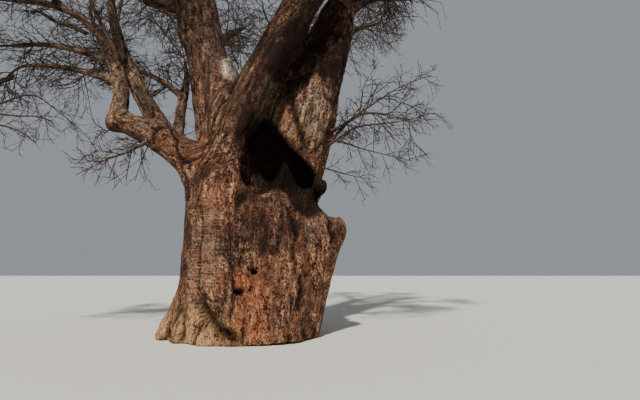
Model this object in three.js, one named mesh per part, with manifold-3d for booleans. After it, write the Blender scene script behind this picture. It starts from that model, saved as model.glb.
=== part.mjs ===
// A bare baobab tree in its dry season, in millimetres. Z is up and the origin is the
// centre of the flat cut at ground level. X runs to the right of the front view and Y
// runs away from it.
// The trunk is a blend of fused stems, each bough and limb is one tapering tube, and
// each mass of twigs grows by a seeded rule from the tip of its own limb.

import * as THREE from 'three';
import { mergeVertices } from 'three/addons/utils/BufferGeometryUtils.js';
import Module from 'manifold-3d';

// Trunk: the stems that have grown together, each from its foot on the ground to its top
const forkHeight = 6800;
const stemBlend = 190;
const stems = [
  { foot: [400, 100, 0], top: [600, 250, 5500], footRadius: 2000, topRadius: 1750 },
  { foot: [-750, -450, 0], top: [-700, -250, 5950], footRadius: 1230, topRadius: 1130 },
  { foot: [-700, 900, 0], top: [-600, 900, 5700], footRadius: 1230, topRadius: 1080 },
  { foot: [300, -1250, 0], top: [-150, -1200, 5300], footRadius: 1330, topRadius: 1020 },
  { foot: [1500, -1150, 0], top: [1800, -950, 4150], footRadius: 1250, topRadius: 1050 },
  { foot: [1600, -200, 0], top: [2740, -250, 3680], footRadius: 1480, topRadius: 1270 },
  { foot: [1650, 1050, 0], top: [2050, 850, 5700], footRadius: 1350, topRadius: 1150 },
  { foot: [550, 1500, 0], top: [700, 1450, 5800], footRadius: 1330, topRadius: 1050 },
];

// Knobs on the trunk's right side: the burl above the notch and the end of the shoulder
const knobs = [
  { centre: [3000, -350, 5560], radius: 410 },
  { centre: [3640, -420, 3900], radius: 450 },
];

// Root flare: lobes round the foot, by their heading in degrees and their reach
const rootHeadings = [62, 95, 128, 158, 184, 207, 232, 254, 277, 301];
const rootReach = 2560;
const rootDepthShare = 0.84;
const rootRadius = 330;
const rootInnerReach = 1680;
const rootInnerRadius = 520;
const rootRise = 1000;

// Trunk mesh: sides round it, rings up it, and the axis that its sections are measured from
const trunkSides = 36;
const trunkRings = 15;
const axisFoot = [350, 0];
const axisTop = [600, 100];
const widestReach = 5200;

// Clear gap between touching pieces
const gap = 0.4;

// Boughs and limbs. bow is how far the middle of the limb stands off its straight line.
// taper is the power of the change from base to tip: under 1 it narrows early, over 1 late.
const limbs = [
  { name: 'front_bough', base: [-420, -1100, 4700], tip: [3300, -1500, 13900], bow: [-430, 0, 0], radii: [930, 650], taper: 0.8 },
  { name: 'right_bough', base: [1650, 650, 5200], tip: [4230, 650, 14100], bow: [-130, 0, 0], radii: [1400, 560], taper: 2.1 },
  { name: 'centre_bough', base: [-850, 850, 5400], tip: [-2250, 850, 14300], bow: [190, 0, 0], radii: [960, 800], taper: 1 },
  { name: 'left_bough', base: [-1050, -250, 6000], tip: [-4780, -500, 8330], bow: [0, 0, 300], radii: [1020, 460], taper: 0.45 },
  { name: 'back_left_bough', base: [-700, 1600, 5600], tip: [-2350, 4300, 13000], bow: [150, 500, -500], radii: [860, 450], taper: 0.8 },
  { name: 'back_right_bough', base: [1800, 1600, 5700], tip: [3000, 4500, 12800], bow: [100, 500, -500], radii: [900, 460], taper: 0.8 },
  { name: 'left_riser', base: [-4420, -500, 8050], tip: [-5230, -500, 10900], bow: [110, 0, 0], radii: [400, 350], taper: 1 },
  { name: 'left_high_limb', base: [-5130, -500, 10560], tip: [-8900, -500, 12950], bow: [-60, 0, 390], radii: [340, 140], taper: 0.7 },
  { name: 'left_front_limb', base: [-6950, -500, 12250], tip: [-7900, -2900, 13600], bow: [0, 0, 150], radii: [170, 100], taper: 0.9 },
  { name: 'left_upper_arm', base: [-4990, -500, 10400], tip: [-8290, -650, 11020], bow: [0, -60, 230], radii: [220, 110], taper: 0.8 },
  { name: 'left_lower_arm', base: [-4760, -500, 9420], tip: [-8030, -650, 10190], bow: [0, -60, 230], radii: [210, 90], taper: 0.8 },
  { name: 'left_back_limb', base: [-4860, -450, 9900], tip: [-6300, 2600, 12300], bow: [-150, 0, 300], radii: [220, 120], taper: 0.8 },
  { name: 'inner_limb', base: [-2500, 0, 7150], tip: [-5420, 300, 13900], bow: [-480, 60, -260], radii: [430, 190], taper: 0.9 },
  { name: 'small_riser', base: [-2350, 100, 7150], tip: [-2420, 950, 9700], bow: [-130, 160, 0], radii: [230, 170], taper: 1 },
  { name: 'small_arm', base: [-2460, 830, 9180], tip: [-4700, 1350, 10800], bow: [0, 60, 160], radii: [150, 90], taper: 0.9 },
  { name: 'broken_limb', base: [-2350, 750, 13250], tip: [-4020, 700, 13560], bow: [0, 0, -60], radii: [270, 200], taper: 1 },
  { name: 'left_under_spur', base: [-2950, -550, 7350], tip: [-3560, -900, 6960], bow: [0, 0, 60], radii: [110, 65], taper: 1 },
  { name: 'right_side_spur', base: [3350, 250, 7700], tip: [4520, 150, 8330], bow: [0, 0, -40], radii: [100, 60], taper: 1 },
  { name: 'right_upper_spur', base: [4100, 500, 12900], tip: [5250, 100, 13800], bow: [0, 0, 100], radii: [120, 70], taper: 1 },
  { name: 'centre_left_limb', base: [-2300, 850, 13600], tip: [-4700, 1300, 15900], bow: [-250, 0, 250], radii: [520, 200], taper: 0.8 },
  { name: 'centre_top_limb', base: [-2200, 850, 13600], tip: [-1600, 1500, 16200], bow: [200, 0, 100], radii: [560, 210], taper: 0.8 },
  { name: 'centre_front_limb', base: [-2250, 600, 13500], tip: [-3400, -2600, 15600], bow: [0, 0, 400], radii: [450, 190], taper: 0.8 },
  { name: 'front_left_limb', base: [3080, -1480, 13200], tip: [1000, -3900, 15600], bow: [0, 200, 400], radii: [500, 200], taper: 0.8 },
  { name: 'front_right_limb', base: [3180, -1500, 13400], tip: [4900, -4000, 15600], bow: [100, 200, 400], radii: [480, 200], taper: 0.8 },
  { name: 'front_top_limb', base: [3120, -1500, 13400], tip: [2600, -1000, 16400], bow: [250, -150, 0], radii: [520, 200], taper: 0.8 },
  { name: 'right_outer_limb', base: [4150, 650, 13500], tip: [7200, 300, 15600], bow: [0, 0, 400], radii: [420, 180], taper: 0.8 },
  { name: 'right_top_limb', base: [4180, 650, 13400], tip: [5100, 1400, 16200], bow: [150, -200, 100], radii: [430, 190], taper: 0.8 },
  { name: 'right_back_limb', base: [4100, 800, 13000], tip: [6500, 3700, 15400], bow: [0, 100, 350], radii: [380, 170], taper: 0.8 },
  { name: 'back_left_limb', base: [-2300, 4150, 12600], tip: [-4300, 6200, 15700], bow: [150, 0, 350], radii: [340, 160], taper: 0.8 },
  { name: 'back_left_rear_limb', base: [-2300, 4200, 12700], tip: [-1300, 6800, 15200], bow: [0, 200, 250], radii: [340, 160], taper: 0.8 },
  { name: 'back_right_limb', base: [2950, 4350, 12350], tip: [5200, 6800, 15300], bow: [100, 100, 350], radii: [350, 160], taper: 0.8 },
  { name: 'back_right_rear_limb', base: [2950, 4400, 12450], tip: [2100, 6900, 15300], bow: [0, 200, 250], radii: [340, 160], taper: 0.8 },
];

// Masses of twigs, each from the tip of one limb. heading is where its space lies from
// that tip, and reach is how far the furthest twig can get from it.
const masses = [
  { name: 'twigs_left_high', limb: 'left_high_limb', heading: [-0.95, -0.1, 0.1], reach: 3300 },
  { name: 'twigs_left_front', limb: 'left_front_limb', heading: [-0.6, -0.7, 0.35], reach: 3500 },
  { name: 'twigs_left_upper_arm', limb: 'left_upper_arm', heading: [-0.9, -0.35, -0.15], reach: 2700 },
  { name: 'twigs_left_lower_arm', limb: 'left_lower_arm', heading: [-0.8, 0.1, -0.6], reach: 2500 },
  { name: 'twigs_left_back', limb: 'left_back_limb', heading: [-0.65, 0.65, 0.35], reach: 3900 },
  { name: 'twigs_inner', limb: 'inner_limb', heading: [-0.6, -0.2, 0.75], reach: 3600 },
  { name: 'twigs_small_arm', limb: 'small_arm', heading: [-0.7, 0.6, 0.35], reach: 2700 },
  { name: 'twigs_small_riser', limb: 'small_riser', heading: [-0.1, 0.3, 0.9], reach: 2800 },
  { name: 'twigs_left_under', limb: 'left_under_spur', heading: [-0.8, -0.2, -0.35], reach: 2500 },
  { name: 'twigs_right_side', limb: 'right_side_spur', heading: [1, -0.1, -0.05], reach: 3700 },
  { name: 'twigs_right_upper', limb: 'right_upper_spur', heading: [0.5, -0.3, -0.55], reach: 2600 },
  { name: 'twigs_centre_left', limb: 'centre_left_limb', heading: [-0.75, 0.1, 0.55], reach: 4000 },
  { name: 'twigs_centre_top', limb: 'centre_top_limb', heading: [0, 0.15, 1], reach: 3800 },
  { name: 'twigs_centre_front', limb: 'centre_front_limb', heading: [-0.5, -0.7, 0.5], reach: 4000 },
  { name: 'twigs_front_left', limb: 'front_left_limb', heading: [-0.45, -0.75, 0.4], reach: 4000 },
  { name: 'twigs_front_right', limb: 'front_right_limb', heading: [0.55, -0.7, 0.35], reach: 4000 },
  { name: 'twigs_front_top', limb: 'front_top_limb', heading: [0, -0.3, 1], reach: 3700 },
  { name: 'twigs_right_outer', limb: 'right_outer_limb', heading: [0.92, -0.2, 0.25], reach: 4200 },
  { name: 'twigs_right_top', limb: 'right_top_limb', heading: [0.35, 0.1, 0.95], reach: 3700 },
  { name: 'twigs_right_back', limb: 'right_back_limb', heading: [0.8, 0.5, 0.3], reach: 4000 },
  { name: 'twigs_back_left', limb: 'back_left_limb', heading: [-0.7, 0.5, 0.45], reach: 4000 },
  { name: 'twigs_back_left_rear', limb: 'back_left_rear_limb', heading: [-0.1, 0.8, 0.5], reach: 3800 },
  { name: 'twigs_back_right', limb: 'back_right_limb', heading: [0.6, 0.65, 0.5], reach: 4000 },
  { name: 'twigs_back_right_rear', limb: 'back_right_rear_limb', heading: [-0.1, 0.8, 0.5], reach: 3800 },
];

// Twig rule: the stem, its branches and their twigs. length is a share of the mass's
// reach, spread is the angle off the parent in degrees, and droop is the fall at the tip
// as a share of the length.
const twigLevels = [
  { count: 1, length: 0.6, spread: 0, droop: 0.04, thinning: 0.28, sides: 5, rings: 3 },
  { count: 5, length: 0.62, spread: 50, droop: 0.16, thinning: 0.34, sides: 3, rings: 2 },
  { count: 2, length: 0.4, spread: 48, droop: 0.2, thinning: 0.4, sides: 3, rings: 1 },
];
const firstBranchAt = 0.16;
const branchTurn = 137.5;
const turnJitter = 50;
const lengthJitter = 0.3;
const shortening = 0.45;
const branchRadiusShare = 0.5;
const smallestRadius = 9;
const stemRadiusShare = 0.86;
const spaceCentreShare = 0.52;
const spaceRadiusShare = 0.54;
const twigClearance = 60;

// Limb mesh: more sides on a thicker limb, and rings by its length
const limbSides = [[700, 12], [300, 8], [0, 6]];
const ringSpacing = 1700;
const fewestRings = 2;

const wasm = await Module();
wasm.setup();

const barkMaterial = new THREE.MeshStandardMaterial({ color: 0x7a5545, roughness: 0.9, metalness: 0 });
const limbMaterial = new THREE.MeshStandardMaterial({ color: 0x86705f, roughness: 0.9, metalness: 0 });
const twigMaterial = new THREE.MeshStandardMaterial({ color: 0x574a42, roughness: 0.95, metalness: 0 });

const vector = (point) => new THREE.Vector3(...point);
const mix = (from, to, share) => from + (to - from) * share;
const radians = (degrees) => degrees * Math.PI / 180;

// Number from 0 to 1 for a twig's own number and a channel
function random(number, channel) {
  const wave = Math.sin(number * 12.9898 + channel * 78.233) * 43758.5453;
  return wave - Math.floor(wave);
}

// Turns a three.js geometry into a solid
function toSolid(geometry) {
  geometry.deleteAttribute('normal');
  geometry.deleteAttribute('uv');
  const merged = mergeVertices(geometry);
  return new wasm.Manifold(new wasm.Mesh({
    numProp: 3,
    vertProperties: new Float32Array(merged.getAttribute('position').array),
    triVerts: new Uint32Array(merged.index.array),
  }));
}

// The largest body of a cut piece, without the loose chips beside it
function largestBody(solid) {
  return solid.decompose().reduce((best, body) => (body.volume() > best.volume() ? body : best));
}

// Turns a solid into a named mesh
function toMesh(solid, name, material) {
  const { vertProperties, triVerts } = solid.getMesh();
  const geometry = new THREE.BufferGeometry();
  geometry.setAttribute('position', new THREE.BufferAttribute(new Float32Array(vertProperties), 3));
  geometry.setIndex(new THREE.BufferAttribute(new Uint32Array(triVerts), 1));
  geometry.computeVertexNormals();
  const mesh = new THREE.Mesh(geometry, material);
  mesh.name = name;
  return mesh;
}

// Distance from a point to a cone with round ends
function coneDistance(point, start, end, startRadius, endRadius) {
  const along = end.clone().sub(start);
  const share = THREE.MathUtils.clamp(point.clone().sub(start).dot(along) / along.lengthSq(), 0, 1);
  const nearest = start.clone().addScaledVector(along, share);
  return point.distanceTo(nearest) - mix(startRadius, endRadius, share);
}

// Every cone that the trunk is blended from: stems, knobs and the lobes of the root flare
function trunkCones() {
  const cones = stems.map((stem) => [vector(stem.foot), vector(stem.top), stem.footRadius, stem.topRadius]);
  for (const knob of knobs) {
    cones.push([vector(knob.centre), vector(knob.centre).setX(knob.centre[0] - knob.radius), knob.radius, knob.radius]);
  }
  for (const heading of rootHeadings) {
    const across = Math.cos(radians(heading));
    const away = Math.sin(radians(heading)) * rootDepthShare;
    const outer = new THREE.Vector3(across * rootReach, away * rootReach, 0);
    const inner = new THREE.Vector3(across * rootInnerReach, away * rootInnerReach, rootRise);
    cones.push([outer, inner, rootRadius, rootInnerRadius]);
  }
  return cones;
}

const cones = trunkCones();

// Blended distance to the trunk's surface, below zero inside it
function trunkDistance(point) {
  let sum = 0;
  for (const cone of cones) {
    sum += Math.exp(-coneDistance(point, ...cone) / stemBlend);
  }
  return -stemBlend * Math.log(sum);
}

// How far the trunk reaches from its axis in one heading at one height
function trunkReach(angle, height, grow) {
  const axis = trunkAxis(height);
  let inside = 0;
  let outside = widestReach;
  for (let step = 0; step < 24; step++) {
    const middle = (inside + outside) / 2;
    const point = new THREE.Vector3(
      axis[0] + Math.cos(angle) * middle,
      axis[1] + Math.sin(angle) * middle,
      height,
    );
    if (trunkDistance(point) < 0) {
      inside = middle;
    } else {
      outside = middle;
    }
  }
  return inside + grow;
}

function trunkAxis(height) {
  const share = height / forkHeight;
  return [mix(axisFoot[0], axisTop[0], share), mix(axisFoot[1], axisTop[1], share)];
}

// The trunk: a unit cylinder whose vertices are pushed out to the blended stems
function trunkSolid(grow) {
  const geometry = new THREE.CylinderGeometry(1, 1, 1, trunkSides, trunkRings);
  const position = geometry.getAttribute('position');
  for (let i = 0; i < position.count; i++) {
    const share = position.getY(i) + 0.5;
    const across = position.getX(i);
    const away = -position.getZ(i);
    const height = forkHeight * share ** 1.15;
    const axis = trunkAxis(height);
    const radius = Math.hypot(across, away) < 0.5 ? 0 : trunkReach(Math.atan2(away, across), height, grow);
    position.setXYZ(i, axis[0] + across * radius, axis[1] + away * radius, height + grow * (2 * share - 1));
  }
  return toSolid(geometry);
}

// The middle line of a limb from its base, tip and bow
function limbCurve(limb) {
  const base = vector(limb.base);
  const tip = vector(limb.tip);
  const control = base.clone().add(tip).multiplyScalar(0.5).addScaledVector(vector(limb.bow), 2);
  return new THREE.QuadraticBezierCurve3(base, control, tip);
}

function limbRadius(limb, share) {
  return mix(limb.radii[0], limb.radii[1], share ** limb.taper);
}

// A tapering tube along a curve: a cylinder whose rings are carried along it
function tubeSolid(curve, radiusAt, sides, rings, grow) {
  const geometry = new THREE.CylinderGeometry(1, 1, 1, sides, rings);
  const position = geometry.getAttribute('position');
  const first = curve.getTangent(0);
  const reference = Math.abs(first.x) < 0.8 ? new THREE.Vector3(1, 0, 0) : new THREE.Vector3(0, 1, 0);
  for (let i = 0; i < position.count; i++) {
    const share = THREE.MathUtils.clamp(position.getY(i) + 0.5, 0, 1);
    const tangent = curve.getTangent(share);
    const side = new THREE.Vector3().crossVectors(reference, tangent).normalize();
    const front = new THREE.Vector3().crossVectors(tangent, side);
    const radius = radiusAt(share) + grow;
    const point = curve.getPoint(share)
      .addScaledVector(front, position.getX(i) * radius)
      .addScaledVector(side, position.getZ(i) * radius)
      .addScaledVector(tangent, grow * (2 * share - 1));
    position.setXYZ(i, point.x, point.y, point.z);
  }
  return toSolid(geometry);
}

function limbSolid(limb, grow) {
  const curve = limbCurve(limb);
  const sides = limbSides.find(([least]) => limb.radii[0] > least)[1];
  const rings = Math.max(fewestRings, Math.round(curve.getLength() / ringSpacing));
  return tubeSolid(curve, (share) => limbRadius(limb, share), sides, rings, grow);
}

// Straight cones that follow each limb, to keep the twigs clear of it
const limbCones = limbs.flatMap((limb) => {
  const curve = limbCurve(limb);
  const pieces = 6;
  return Array.from({ length: pieces }, (_, i) => [
    curve.getPoint(i / pieces),
    curve.getPoint((i + 1) / pieces),
    limbRadius(limb, i / pieces),
    limbRadius(limb, (i + 1) / pieces),
  ]);
});

// The ball that a mass keeps to, and the start of its stem
for (const mass of masses) {
  mass.parent = limbs.find((limb) => limb.name === mass.limb);
  mass.tangent = limbCurve(mass.parent).getTangent(1);
  mass.start = vector(mass.parent.tip).addScaledVector(mass.tangent, gap);
  mass.toward = vector(mass.heading).normalize();
  mass.centre = mass.start.clone().addScaledVector(mass.toward, mass.reach * spaceCentreShare);
  mass.radius = mass.reach * spaceRadiusShare;
}

// Whether a point is in the mass's ball, nearer to it than to any other, and off the limbs
function inSpace(point, mass) {
  const own = point.distanceTo(mass.centre) / mass.radius;
  if (own > 1) {
    return false;
  }
  for (const other of masses) {
    if (other !== mass && point.distanceTo(other.centre) / other.radius < own + 2 * twigClearance / mass.radius) {
      return false;
    }
  }
  for (const cone of limbCones) {
    if (coneDistance(point, ...cone) < twigClearance) {
      return false;
    }
  }
  return trunkDistance(point) > twigClearance;
}

// The line of one twig: it sets out along its heading and droops toward its tip
function twigCurve(start, heading, length, droop) {
  const control = start.clone().addScaledVector(heading, length * 0.5);
  const end = start.clone().addScaledVector(heading, length);
  end.z -= length * droop;
  return new THREE.QuadraticBezierCurve3(start, control, end);
}

// Heading of a child, turned off its parent's line by the spread, and round it by the turn
function childHeading(tangent, spread, turn) {
  const side = new THREE.Vector3().crossVectors(tangent, new THREE.Vector3(0.1, 0.2, 1)).normalize();
  const front = new THREE.Vector3().crossVectors(side, tangent);
  return tangent.clone().multiplyScalar(Math.cos(spread))
    .addScaledVector(side, Math.sin(spread) * Math.cos(turn))
    .addScaledVector(front, Math.sin(spread) * Math.sin(turn))
    .normalize();
}

// Point on the straight runs between a twig's rings
function pointOnTube(twig, share) {
  const ring = Math.min(twig.rule.rings - 1, Math.floor(share * twig.rule.rings));
  const start = twig.curve.getPoint(ring / twig.rule.rings);
  const end = twig.curve.getPoint((ring + 1) / twig.rule.rings);
  return start.lerp(end, share * twig.rule.rings - ring);
}

// Adds the children of a twig, then theirs, and skips any that would leave the space
function growChildren(mass, parent, level, twigs) {
  const rule = twigLevels[level];
  for (let i = 0; i < rule.count; i++) {
    const number = parent.number * 10 + i + 1;
    const along = mix(firstBranchAt, 1, (i + random(number, 1)) / rule.count);
    const spread = radians(rule.spread * mix(0.7, 1.3, random(number, 2)));
    const turn = radians(i * branchTurn + turnJitter * (random(number, 3) - 0.5) + 360 * random(parent.number, 7));
    const length = mass.reach * rule.length
      * mix(1 - lengthJitter, 1, random(number, 4)) * (1 - shortening * along);
    const start = pointOnTube(parent, along);
    const heading = childHeading(parent.curve.getTangent(along), spread, turn);
    const curve = twigCurve(start, heading, length, rule.droop);
    const clear = [0.35, 0.55, 0.75, 1].every((share) => inSpace(curve.getPoint(share), mass));
    if (!clear) {
      continue;
    }
    const radius = Math.max(smallestRadius, parent.radiusAt(along) * branchRadiusShare);
    const tipRadius = Math.max(smallestRadius, radius * rule.thinning);
    const twig = { number, curve, rule, radiusAt: (share) => mix(radius, tipRadius, share) };
    twigs.push(twig);
    if (level + 1 < twigLevels.length) {
      growChildren(mass, twig, level + 1, twigs);
    }
  }
}

// One mass: its stem carries on from the limb's tip and turns toward the mass's heading
function massSolid(mass, index) {
  const rule = twigLevels[0];
  const length = mass.reach * rule.length;
  const end = mass.start.clone().addScaledVector(mass.toward, length);
  end.z -= length * rule.droop;
  const control = mass.start.clone().addScaledVector(mass.tangent, length * 0.4);
  const radius = mass.parent.radii[1] * stemRadiusShare;
  const stem = {
    number: index + 1,
    curve: new THREE.QuadraticBezierCurve3(mass.start, control, end),
    rule,
    radiusAt: (share) => mix(radius, radius * rule.thinning, share),
  };
  const twigs = [stem];
  growChildren(mass, stem, 1, twigs);
  const pieces = twigs.map((twig) => tubeSolid(twig.curve, twig.radiusAt, twig.rule.sides, twig.rule.rings, 0));
  return pieces.reduce((joined, piece) => joined.add(piece));
}

const tree = new THREE.Group();
tree.add(toMesh(trunkSolid(0), 'trunk', barkMaterial));

// Each limb is cut to fit the trunk and the limbs before it
const cutters = [trunkSolid(gap)];
for (const limb of limbs) {
  const solid = cutters.reduce((rest, cutter) => rest.subtract(cutter), limbSolid(limb, 0));
  tree.add(toMesh(largestBody(solid), limb.name, limb.radii[0] > 700 ? barkMaterial : limbMaterial));
  cutters.push(limbSolid(limb, gap));
}

masses.forEach((mass, index) => {
  tree.add(toMesh(massSolid(mass, index), mass.name, twigMaterial));
});

export default tree;
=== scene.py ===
import math

import bpy
import numpy as np
import openvdb as vdb
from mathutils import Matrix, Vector


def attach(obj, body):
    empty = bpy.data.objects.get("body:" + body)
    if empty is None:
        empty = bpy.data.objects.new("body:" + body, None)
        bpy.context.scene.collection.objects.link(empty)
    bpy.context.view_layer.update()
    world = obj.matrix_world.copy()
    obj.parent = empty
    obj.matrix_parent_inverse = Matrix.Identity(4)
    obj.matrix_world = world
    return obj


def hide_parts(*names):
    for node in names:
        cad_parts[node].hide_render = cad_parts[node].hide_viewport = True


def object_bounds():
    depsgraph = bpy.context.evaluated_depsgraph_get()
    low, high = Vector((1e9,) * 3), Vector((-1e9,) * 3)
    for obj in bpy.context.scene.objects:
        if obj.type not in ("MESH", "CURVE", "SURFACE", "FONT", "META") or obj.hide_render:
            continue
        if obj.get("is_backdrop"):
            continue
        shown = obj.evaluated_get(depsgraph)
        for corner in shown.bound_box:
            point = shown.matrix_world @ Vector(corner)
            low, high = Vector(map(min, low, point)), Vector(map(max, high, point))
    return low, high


# A bare baobab in its dry season, in metres. Z is up, the origin is the middle of the flat cut
# at ground level, X runs to the right of the front view and Y runs away from it.
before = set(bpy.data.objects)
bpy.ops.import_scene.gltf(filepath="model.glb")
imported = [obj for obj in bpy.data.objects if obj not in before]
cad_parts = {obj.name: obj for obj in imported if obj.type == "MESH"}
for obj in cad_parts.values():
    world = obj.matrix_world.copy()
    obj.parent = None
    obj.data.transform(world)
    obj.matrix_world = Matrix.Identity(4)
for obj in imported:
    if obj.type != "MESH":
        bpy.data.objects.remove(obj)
cadBox = [list(corner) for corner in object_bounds()]

# The stems that have fused into the trunk: foot, top, radius at the foot and at the top
stems = [
    ((.4, .1, 0), (.6, .25, 5.5), 2, 1.75),
    ((-.75, -.45, 0), (-.7, -.25, 5.95), 1.23, 1.13),
    ((-.7, .9, 0), (-.6, .9, 5.7), 1.23, 1.08),
    ((.3, -1.25, 0), (-.15, -1.2, 5.3), 1.33, 1.02),
    ((1.5, -1.15, 0), (1.8, -.95, 4.15), 1.25, 1.05),
    ((1.6, -.2, 0), (2.74, -.25, 3.68), 1.48, 1.27),
    ((1.65, 1.05, 0), (2.05, .85, 5.7), 1.35, 1.15),
    ((.55, 1.5, 0), (.7, 1.45, 5.8), 1.33, 1.05),
]
knobs = [((3, -.35, 5.56), .41), ((3.64, -.42, 3.9), .45)]
rootFlare = {
    "headings": (62, 95, 128, 158, 184, 207, 232, 254, 277, 301),
    "reach": 2.56, "depthShare": .84, "radius": .33,
    "innerReach": 1.68, "innerRadius": .52, "rise": 1,
}
stemBlend = .19

# Boughs and limbs: base, tip, how far the middle stands off the straight line, radius at the
# base and at the tip, and the power of the taper
limbs = {
    "front_bough": ((-.78, -1.1, 4.7), (3.55, -1.5, 13.9), (-.46, 0, 0), (.74, .62), .8),
    "right_bough": ((1.65, .65, 5.2), (4.37, .65, 14.1), (-.13, 0, 0), (1.4, .44), 2.1),
    "centre_bough": ((-.85, .85, 5.4), (-2.25, .85, 14.3), (.3, 0, 0), (.88, .79), 1),
    "left_bough": ((-1.05, -.25, 6), (-4.47, -.5, 8.05), (0, 0, .27), (1.02, .41), .35),
    "back_left_bough": ((-.7, 1.6, 5.6), (-2.35, 4.3, 13), (.15, .5, -.5), (.86, .45), .8),
    "back_right_bough": ((1.8, 1.6, 5.7), (3, 4.5, 12.8), (.1, .5, -.5), (.9, .46), .8),
    "left_riser": ((-4.6, -.5, 8), (-5.1, -.5, 10.9), (.36, 0, 0), (.37, .25), .8),
    "left_high_limb": ((-4.9, -.5, 10.55), (-8.9, -.5, 12.95), (.6, 0, .55), (.25, .11), .6),
    "left_front_limb": ((-6.95, -.5, 12.61), (-7.9, -2.9, 13.6), (0, 0, .15), (.15, .09), .9),
    "left_upper_arm": ((-4.85, -.5, 10.35), (-8.29, -.65, 11.02), (0, -.06, .23), (.17, .08), .8),
    "left_lower_arm": ((-4.7, -.5, 9.6), (-8.03, -.65, 10.19), (0, -.06, .17), (.17, .08), .8),
    "left_back_limb": ((-4.7, -.45, 9.9), (-6.3, 2.6, 12.3), (-.15, 0, .3), (.2, .11), .8),
    "inner_limb": ((-2.5, 0, 7.15), (-5.42, .3, 13.9), (-.7, .06, .3), (.43, .12), 1),
    "small_riser": ((-2.35, .1, 7.15), (-2.42, .95, 9.7), (-.13, .16, 0), (.25, .2), 1),
    "small_arm": ((-2.42, .83, 9.4), (-4.7, 1.35, 10.8), (0, .06, .2), (.15, .09), .9),
    "broken_limb": ((-2.35, .75, 13.25), (-4.02, .7, 13.56), (0, 0, -.06), (.27, .2), 1),
    "left_under_spur": ((-2.95, -.55, 7.35), (-3.56, -.9, 6.96), (0, 0, .06), (.1, .05), 1),
    "right_side_spur": ((3.35, .25, 7.7), (4.52, .15, 8.33), (0, 0, -.04), (.1, .06), 1),
    "right_upper_spur": ((4.1, .5, 12.9), (5.25, .1, 13.8), (0, 0, .1), (.12, .07), 1),
    "centre_left_limb": ((-2.3, .85, 13.6), (-4.7, 1.3, 15.9), (-.25, 0, .25), (.52, .2), .8),
    "centre_top_limb": ((-2.2, .85, 13.6), (-1.6, 1.5, 16.2), (.2, 0, .1), (.56, .21), .8),
    "centre_front_limb": ((-2.25, .6, 13.5), (-3.4, -2.6, 15.6), (0, 0, .4), (.45, .19), .8),
    "front_left_limb": ((3.08, -1.48, 13.2), (1, -3.9, 15.6), (0, .2, .4), (.5, .2), .8),
    "front_right_limb": ((3.18, -1.5, 13.4), (4.9, -4, 15.6), (.1, .2, .4), (.48, .2), .8),
    "front_top_limb": ((3.12, -1.5, 13.4), (2.6, -1, 16.4), (.25, -.15, 0), (.52, .2), .8),
    "right_outer_limb": ((4.15, .65, 13.5), (7.2, .3, 15.6), (0, 0, .4), (.42, .18), .8),
    "right_top_limb": ((4.18, .65, 13.4), (5.1, 1.4, 16.2), (.15, -.2, .1), (.43, .19), .8),
    "right_back_limb": ((4.1, .8, 13), (6.5, 3.7, 15.4), (0, .1, .35), (.38, .17), .8),
    "back_left_limb": ((-2.3, 4.15, 12.6), (-4.3, 6.2, 15.7), (.15, 0, .35), (.34, .16), .8),
    "back_left_rear_limb": ((-2.3, 4.2, 12.7), (-1.3, 6.8, 15.2), (0, .2, .25), (.34, .16), .8),
    "back_right_limb": ((2.95, 4.35, 12.35), (5.2, 6.8, 15.3), (.1, .1, .35), (.35, .16), .8),
    "back_right_rear_limb": ((2.95, 4.4, 12.45), (2.1, 6.9, 15.3), (0, .2, .25), (.34, .16), .8),
}

# Masses of twigs, by the limb that each grows from: the region it belongs to, where it lies from the
# limb's tip, its reach, and the share of its finer twigs that it keeps
masses = {
    "left_high_limb": ("left_tips", (-.95, -.1, .1), 3.3, 1),
    "left_front_limb": ("left_tips", (-.6, -.7, .35), 3.5, 1),
    "left_upper_arm": ("left_tips", (-.9, -.35, -.15), 2.7, 1),
    "left_lower_arm": ("left_tips", (-.8, .1, -.6), 2.5, .5),
    "left_back_limb": ("left_inside", (-.65, .65, .35), 3.9, .45),
    "inner_limb": ("left_inside", (-.6, -.2, .75), 3.6, 1),
    "small_arm": ("left_inside", (-.7, .6, .35), 2.7, 1),
    "small_riser": ("left_inside", (-.1, .3, .9), 2.8, .6),
    "left_under_spur": ("left_tips", (-.8, -.2, -.35), 2.5, .4),
    "right_side_spur": ("right_side", (1, -.1, -.05), 3.7, .6),
    "right_upper_spur": ("right_side", (.5, -.3, -.55), 2.6, .7),
    "centre_left_limb": ("centre", (-.75, .1, .55), 4, 1),
    "centre_top_limb": ("centre", (0, .15, 1), 3.8, 1),
    "centre_front_limb": ("centre", (-.5, -.7, .5), 4, 1),
    "front_left_limb": ("front", (-.45, -.75, .4), 4, 1),
    "front_right_limb": ("front", (.55, -.7, .35), 4, 1),
    "front_top_limb": ("front", (0, -.3, 1), 3.7, 1),
    "right_outer_limb": ("right", (.92, -.2, .25), 4.2, 1),
    "right_top_limb": ("right", (.35, .1, .95), 3.7, 1),
    "right_back_limb": ("right", (.8, .5, .3), 4, .2),
    "back_left_limb": ("back", (-.7, .5, .45), 4, 1),
    "back_left_rear_limb": ("back", (-.1, .8, .5), 3.8, .6),
    "back_right_limb": ("back", (.6, .65, .5), 4, 1),
    "back_right_rear_limb": ("back", (-.1, .8, .5), 3.8, 1),
}

# Numbers that scramble others: a number and a channel, and the corners of a lattice
scramble = {
    "number": 12.9898, "channel": 78.233, "wave": 43758.5453, "mask": 0xffffffff,
    "corner": (73856093, 19349663, 83492791), "seed": 2654435761, "first": 2246822519, "second": 3266489917,
}
noiseSeeds = {
    "flute": 3, "crease": 11, "lump": 17, "gap": 29, "swell": 41, "drift": 61, "fleck": 67, "sway": 71,
    "cavity": 83,
}


# Rows of numbers, each over its own length
def unit(rows):
    return rows / np.maximum(np.linalg.norm(rows, axis=-1, keepdims=True), 1e-9)


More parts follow.
